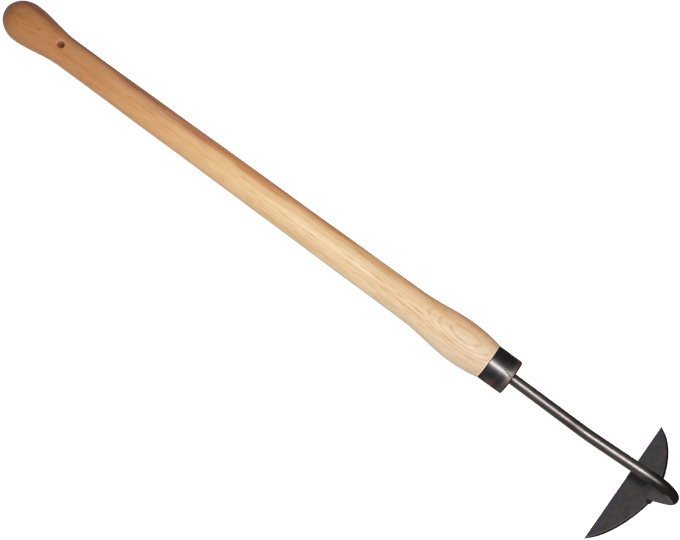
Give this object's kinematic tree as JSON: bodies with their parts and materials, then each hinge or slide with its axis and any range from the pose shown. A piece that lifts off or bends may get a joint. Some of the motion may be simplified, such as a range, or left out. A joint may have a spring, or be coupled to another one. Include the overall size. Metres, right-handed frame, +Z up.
{
  "type": "hand hoe",
  "caption": "Hand hoe with a turned wooden handle, steel ferrule and hooked round neck that carries a half-moon blade facing back to the user.",
  "frame": {"origin": "middle of the hoe's outline seen from above, on the surface that it rests on", "axes": "+X from the knob towards the blade, +Y across along the cutting edge, +Z up as the hoe lies at rest on its knob and cutting edge; the handle's own axis rises 5.10 degrees towards +X"},
  "size_m": [0.7328, 0.1264, 0.0957],
  "materials": {
    "handle_wood": "straight-grained ash under clear gloss lacquer, pale at the ferrule end and honey brown at the knob",
    "ferrule_steel": "blackened steel with a semi-gloss sheen and brown patina at the front rim",
    "neck_steel": "bronze-grey drawn bar under clear lacquer",
    "blade_steel": "dark satin steel with faint blue and brown scale",
    "weld_steel": "smoothed weld metal, dark satin"
  },
  "bodies": {
    "root": {"handle": "handle_wood", "ferrule": "ferrule_steel", "swan_neck": "neck_steel", "blade": "blade_steel", "weld": "weld_steel", "back_weld": "weld_steel"}
  },
  "joints": []
}
